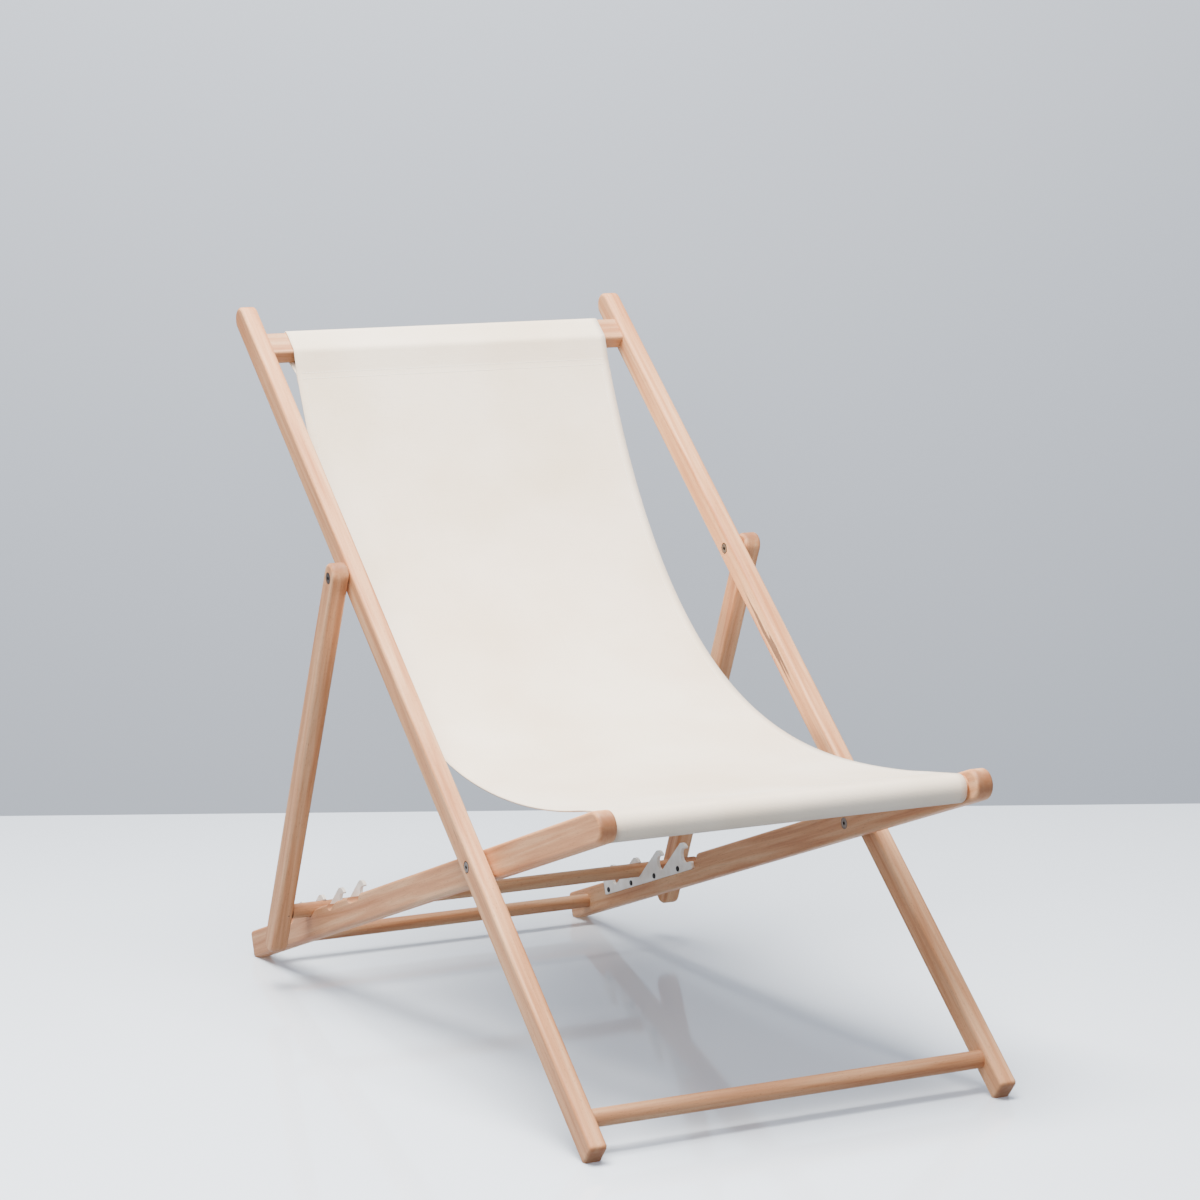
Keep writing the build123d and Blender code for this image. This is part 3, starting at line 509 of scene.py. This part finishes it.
def slingPath():  # front sleeve, sheet between the two seams, and top sleeve, seen from the side
    front = Vector((frontBar.y, frontBar.z))
    top = Vector((topBar.y, topBar.z))
    reach = sling["frontBarRadius"] + sling["gap"] + sling["thickness"] / 2
    lean = math.radians(sling["frontLean"])
    start = front + Vector((math.sin(lean), math.cos(lean))) * reach
    pull = start + Vector((math.cos(lean), -math.sin(lean))) * sling["frontReach"]
    steep = math.radians(sling["topLean"])
    drop = sling["topDepth"] / 2 + sling["gap"] + sling["thickness"] / 2
    end = top - alongBack * drop + outOfBack * sling["leavesTopBar"]
    endPull = end - Vector((math.cos(steep), math.sin(steep))) * sling["topReach"]
    curve = []
    for i in range(sling["curveSteps"] + 1):
        t = i / sling["curveSteps"]
        curve.append(tuple(start * (1 - t) ** 3 + pull * 3 * t * (1 - t) ** 2
                           + endPull * 3 * t * t * (1 - t) + end * t ** 3))
    sheet = trimmed(curve, sling["seamBehindFrontBar"])
    sheet = trimmed(sheet[::-1], sling["seamBelowTopBar"])[::-1]
    turns = [math.tau * i / sling["barSteps"] for i in range(sling["barSteps"])]
    ring = [tuple(front + Vector((math.cos(a), math.sin(a))) * reach) for a in turns]
    frontLoop = outlineAround(ring, sheet[0])  # seam, under the bar, front, top, seam
    r = sling["topRound"] + sling["gap"] + sling["thickness"] / 2
    a = sling["topDepth"] / 2 - sling["topRound"]
    b = sling["topThickness"] / 2 - sling["topRound"]
    ring = []
    for sx, sy, first in ((1, 1, 0), (-1, 1, 90), (-1, -1, 180), (1, -1, 270)):
        for i in range(sling["cornerSteps"] + 1):
            turnBy = math.radians(first + i * 90 / sling["cornerSteps"])
            ring.append(tuple(top + alongBack * (sx * a + r * math.cos(turnBy))
                              + outOfBack * (sy * b + r * math.sin(turnBy))))
    return frontLoop, sheet, outlineAround(ring, sheet[-1])


frontLoop, sheetLine, topLoop = slingPath()

# the front sleeve has to start under its bar, and the top sleeve has to go up the
# sitter's side first
frontPart = frontLoop + [sheetLine[0]]
if frontPart[1][1] > frontPart[-2][1]:
    frontPart = frontPart[::-1]
topPart = topLoop + [sheetLine[-1]]
if topPart[1][0] > topPart[-2][0]:
    topPart = topPart[::-1]


# the allowance of each sleeve lies against the back of the sheet, a little more than
# one thickness off
def allowance(atSeam, alongSheet, offSide):
    base = Vector(atSeam) + offSide * (sling["thickness"] * sling["allowanceOff"])
    return [tuple(base + alongSheet * (sling["seamAllowance"] * i / sling["allowanceSteps"]))
            for i in range(sling["allowanceSteps"] + 1)]


seamRows = sling["seamRows"]
frontDirection = (Vector(sheetLine[seamRows]) - Vector(sheetLine[0])).normalized()
frontBack = Vector((frontDirection.y, -frontDirection.x))  # under the sheet
topDirection = (Vector(sheetLine[-1 - seamRows]) - Vector(sheetLine[-1])).normalized()
topBack = Vector((-topDirection.y, topDirection.x))  # behind the sheet
underFront = allowance(sheetLine[0], frontDirection, frontBack)[::-1]
behindTop = allowance(sheetLine[-1], topDirection, topBack)
frontLine, frontLength = evenly(underFront + frontPart[1:-1] + [sheetLine[0]], sling["sleeveStep"])
middleLine, middleLength = evenly(sheetLine, sling["step"])
topLine, topLength = evenly([sheetLine[-1]] + topPart[1:-1] + behindTop, sling["sleeveStep"])
profile = frontLine + middleLine[1:] + topLine[1:]
firstSheet = len(frontLine) - 1
lastSheet = firstSheet + len(middleLine) - 1
columns = sling["across"] + 1

# each wave: strength, turns and start along the sheet, turns and start across it
lie = {"leftDroop": 0.006, "ripple": 0.0012, "endEase": 0.12, "seatEase": 0.2, "seatEnd": 0.6,
       "waves": ((1.0, 9.1, 1.3, 2.2, 0.6), (0.5, 23, 4.0, 4.1, -1.0))}


def smooth(t):
    t = min(1.0, max(0.0, t))
    return t * t * (3 - 2 * t)


def layOfSheet(i, x):  # small unevenness of the hanging sheet, as a height
    if i <= firstSheet or i >= lastSheet:
        return 0.0
    t = (i - firstSheet) / (lastSheet - firstSheet)
    ends = smooth(t / lie["endEase"]) * smooth((1 - t) / lie["endEase"])
    seat = smooth(t / lie["seatEase"]) * smooth((lie["seatEnd"] - t) / lie["seatEase"])
    left = 0.5 - x / (2 * sling["halfWidth"])
    wave = sum(strength * math.sin(along * t + alongStart)
               * math.sin(across * x / sling["halfWidth"] + acrossStart)
               for strength, along, alongStart, across, acrossStart in lie["waves"])
    return -lie["leftDroop"] * left * seat + lie["ripple"] * wave * ends


def makeSheet():
    vertices, faces, arc = [], [], []
    travelled = 0.0
    for i, (y, z) in enumerate(profile):
        if i:
            travelled += math.dist(profile[i - 1], profile[i])
        arc.append(travelled)
        for j in range(columns):
            x = -sling["halfWidth"] + 2 * sling["halfWidth"] * j / sling["across"]
            vertices.append((x, y, z + layOfSheet(i, x)))
    for i in range(len(profile) - 1):
        for j in range(sling["across"]):
            a = i * columns + j
            faces.append((a, a + 1, a + columns + 1, a + columns))
    mesh = bpy.data.meshes.new("canvasSheet")
    mesh.from_pydata(vertices, [], faces)
    layer = mesh.uv_layers.new(name="weave")
    for loop in mesh.loops:
        index = loop.vertex_index
        layer.data[loop.index].uv = (vertices[index][0] + sling["halfWidth"], arc[index // columns])
    smoothShade(mesh)
    return addObject("canvasSheet", mesh)


hang = {"frames": 18, "quality": 8, "weight": 0.25, "stretch": 60.0, "shearShare": 3,
        "bending": 2.0, "pull": 0.35, "easeRows": 10, "mostMove": 0.010}


# short cloth simulation, the sleeves held and the rest drawn lightly to its lie
def hangSheet(sheet):
    held = sheet.vertex_groups.new(name="held")
    before = [v.co.copy() for v in sheet.data.vertices]
    for i in range(len(profile)):
        inside = firstSheet < i < lastSheet
        row = list(range(i * columns, (i + 1) * columns))
        edge = min(i - firstSheet, lastSheet - i) / hang["easeRows"] if inside else 0
        held.add(row, 1.0 if not inside else max(hang["pull"], 1.0 - edge), "REPLACE")
    cloth = sheet.modifiers.new("hang", "CLOTH")
    settings = cloth.settings
    settings.quality = hang["quality"]
    settings.mass = hang["weight"]
    settings.tension_stiffness = hang["stretch"]
    settings.compression_stiffness = hang["stretch"]
    settings.shear_stiffness = hang["stretch"] / hang["shearShare"]
    settings.bending_stiffness = hang["bending"]
    settings.vertex_group_mass = "held"
    settings.pin_stiffness = 1.0
    cloth.point_cache.frame_start = 1
    cloth.point_cache.frame_end = hang["frames"]
    for number in range(1, hang["frames"] + 1):
        bpy.context.scene.frame_set(number)
    shaped = sheet.evaluated_get(bpy.context.evaluated_depsgraph_get()).to_mesh()
    after = [v.co.copy() for v in shaped.vertices]
    sheet.modifiers.remove(cloth)
    bpy.context.scene.frame_set(1)
    furthest = 0.0
    for index, vertex in enumerate(sheet.data.vertices):
        move = after[index] - before[index]
        furthest = max(furthest, move.length)
        if move.length > hang["mostMove"]:
            move = move * (hang["mostMove"] / move.length)
        vertex.co = before[index] + move
    sheet.vertex_groups.clear()
    print("sheet hung, furthest move %.1f mm" % (furthest * 1000))


canvasSheet = makeSheet()
hangSheet(canvasSheet)

grid = [[canvasSheet.data.vertices[i * columns + j].co.copy() for j in range(columns)]
        for i in range(len(profile))]


def gridNormal(i, j):  # towards the sitter, and outwards round the bars
    a = grid[min(i + 1, len(grid) - 1)][j] - grid[max(i - 1, 0)][j]
    b = grid[i][min(j + 1, columns - 1)] - grid[i][max(j - 1, 0)]
    return b.cross(a).normalized()


def gridPoint(i, x):  # point of the hung sheet in row i at a distance x from its left edge
    place = x / (2 * sling["halfWidth"]) * (columns - 1)
    j = min(columns - 2, max(0, int(place)))
    return grid[i][j].lerp(grid[i][j + 1], place - j)


hem = {"width": 0.014, "lift": 0.00115, "thickness": 0.0010, "stitchIn": 0.0105,
       "edgeInset": 0.0006, "edgeLift": 0.55, "places": (0.0, 0.33, 0.66, 1.0), "shortRows": 2}
hemRows = list(range(firstSheet + hem["shortRows"], lastSheet + 1 - hem["shortRows"]))


def makeHem(name, leftSide):  # the side hem: the edge turned under and sewn down
    vertices, faces, uvs = [], [], []
    travelled = 0.0
    j = 0 if leftSide else columns - 1
    for n, i in enumerate(hemRows):
        if n:
            travelled += (grid[i][0] - grid[hemRows[n - 1]][0]).length
        for place in hem["places"]:
            inset = hem["edgeInset"] + hem["width"] * place
            x = inset if leftSide else 2 * sling["halfWidth"] - inset
            lift = hem["lift"] * (hem["edgeLift"] if place == 0 else 1.0)
            vertices.append(gridPoint(i, x) - gridNormal(i, j) * lift)
            uvs.append((x, travelled))
    wide = len(hem["places"])
    for n in range(len(hemRows) - 1):
        for s in range(wide - 1):
            a = n * wide + s
            faces.append((a, a + 1, a + wide + 1, a + wide) if leftSide
                         else (a, a + wide, a + wide + 1, a + 1))
    mesh = bpy.data.meshes.new(name)
    mesh.from_pydata(vertices, [], faces)
    layer = mesh.uv_layers.new(name="weave")
    for loop in mesh.loops:
        layer.data[loop.index].uv = uvs[loop.vertex_index]
    smoothShade(mesh)
    mesh.materials.append(cottonCanvas)
    piece = addObject(name, mesh)
    thicken(piece, hem["thickness"])
    return piece


leftHem = makeHem("leftHem", True)
rightHem = makeHem("rightHem", False)
canvasSheet.data.materials.append(cottonCanvas)
thicken(canvasSheet, sling["thickness"])
print("sheet and hems made")

stitch = {"length": 0.0030, "every": 0.0042, "thread": 0.00032, "lift": 0.00062,
          "hemSink": 0.0003, "sleeveLift": 0.0009, "segments": 6, "rings": 4,
          "smallest": 0.92, "largest": 1.06, "seed": 3}


def stitchTree():  # a run of short thread capsules along a line
    tree = bpy.data.node_groups.new("runningStitch", "GeometryNodeTree")
    face = tree.interface
    face.new_socket("Line", in_out="INPUT", socket_type="NodeSocketGeometry")
    for name, value in (("Stitch length", stitch["length"]), ("Stitch spacing", stitch["every"]),
                        ("Thread radius", stitch["thread"])):
        socket = face.new_socket(name, in_out="INPUT", socket_type="NodeSocketFloat")
        socket.default_value = value
    seed = face.new_socket("Seed", in_out="INPUT", socket_type="NodeSocketInt")
    seed.default_value = stitch["seed"]
    face.new_socket("Thread", in_out="INPUT", socket_type="NodeSocketMaterial")
    face.new_socket("Geometry", in_out="OUTPUT", socket_type="NodeSocketGeometry")
    start = addNode(tree, "NodeGroupInput")
    path = addNode(tree, "GeometryNodeMeshToCurve", inputs={"Mesh": start.outputs["Line"]})
    spaced = addNode(tree, "GeometryNodeResampleCurve", {"mode": "LENGTH"}, {
        "Curve": path.outputs[0], "Length": start.outputs["Stitch spacing"]})
    tangent = addNode(tree, "GeometryNodeInputTangent")
    turned = addNode(tree, "FunctionNodeAlignRotationToVector", {"axis": "Z"},
                     {"Vector": tangent.outputs[0]})
    wobble = addNode(tree, "FunctionNodeRandomValue", {"data_type": "FLOAT"}, {
        "Min": stitch["smallest"], "Max": stitch["largest"], "Seed": start.outputs["Seed"]})
    tall = addNode(tree, "ShaderNodeMath", {"operation": "MULTIPLY"},
                   {0: start.outputs["Stitch length"], 1: 0.5})
    capsule = addNode(tree, "GeometryNodeMeshUVSphere", inputs={
        "Segments": stitch["segments"], "Rings": stitch["rings"], "Radius": 1.0})
    size = addNode(tree, "ShaderNodeCombineXYZ", inputs={
        "X": start.outputs["Thread radius"], "Y": start.outputs["Thread radius"],
        "Z": tall.outputs[0]})
    shaped = addNode(tree, "GeometryNodeTransform", inputs={
        "Geometry": capsule.outputs["Mesh"], "Scale": size.outputs[0]})
    placed = addNode(tree, "GeometryNodeInstanceOnPoints", inputs={
        "Points": spaced.outputs[0], "Instance": shaped.outputs[0],
        "Rotation": turned.outputs[0], "Scale": wobble.outputs[1]})
    real = addNode(tree, "GeometryNodeRealizeInstances", inputs={"Geometry": placed.outputs[0]})
    painted = addNode(tree, "GeometryNodeSetMaterial", inputs={
        "Geometry": real.outputs[0], "Material": start.outputs["Thread"]})
    addNode(tree, "NodeGroupOutput", inputs={"Geometry": painted.outputs[0]})
    return tree


sewing = stitchTree()


def sew(name, lines):  # runs of stitches along lists of points, as one plain mesh
    mesh = bpy.data.meshes.new(name + "Line")
    vertices, edges = [], []
    for line in lines:
        first = len(vertices)
        vertices += line
        edges += [(first + k, first + k + 1) for k in range(len(line) - 1)]
    mesh.from_pydata(vertices, edges, [])
    carrier = addObject(name + "Line", mesh)
    modifier = carrier.modifiers.new("stitches", "NODES")
    modifier.node_group = sewing
    for item in sewing.interface.items_tree:
        if item.in_out == "INPUT" and item.name == "Thread":
            modifier[item.identifier] = cottonThread
    bpy.context.view_layer.update()
    evaluated = carrier.evaluated_get(bpy.context.evaluated_depsgraph_get())
    plain = bpy.data.meshes.new_from_object(evaluated)
    bpy.data.objects.remove(carrier)
    plain.name = name
    smoothShade(plain)
    if not plain.materials:
        plain.materials.append(cottonThread)
    return addObject(name, plain)


def hemLine(x, side):  # side is 1 on the sitter's face and -1 on the hem's
    j = 0 if x < sling["halfWidth"] else columns - 1
    onHem = stitch["lift"] + hem["lift"] + hem["thickness"] / 2 - stitch["hemSink"]
    off = stitch["lift"] if side > 0 else onHem
    return [gridPoint(i, x) + gridNormal(i, j) * side * off for i in hemRows]


def crossLine(i, side, off):
    return [grid[i][j] + gridNormal(i, j) * side * off for j in range(1, columns - 1)]


def sleeveLines(i, nextRow):  # double row across the cloth, on both faces
    faces = ((1, stitch["lift"]), (-1, 2 * stitch["lift"] + stitch["sleeveLift"]))
    return [crossLine(row, side, off) for side, off in faces for row in (i, nextRow)]


width = 2 * sling["halfWidth"]
sideStitches = sew("sideStitches", [hemLine(x, side) for side in (1, -1)
                                    for x in (hem["stitchIn"], width - hem["stitchIn"])])
frontStitches = sew("frontStitches", sleeveLines(firstSheet, firstSheet + 1))
topStitches = sew("topStitches", sleeveLines(lastSheet, lastSheet - 1))
print("stitches sewn")

for piece in (canvasSheet, leftHem, rightHem, sideStitches):
    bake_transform(piece)
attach(frontStitches, "seat_frame")
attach(topStitches, "back_frame")
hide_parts("canvas_sling")
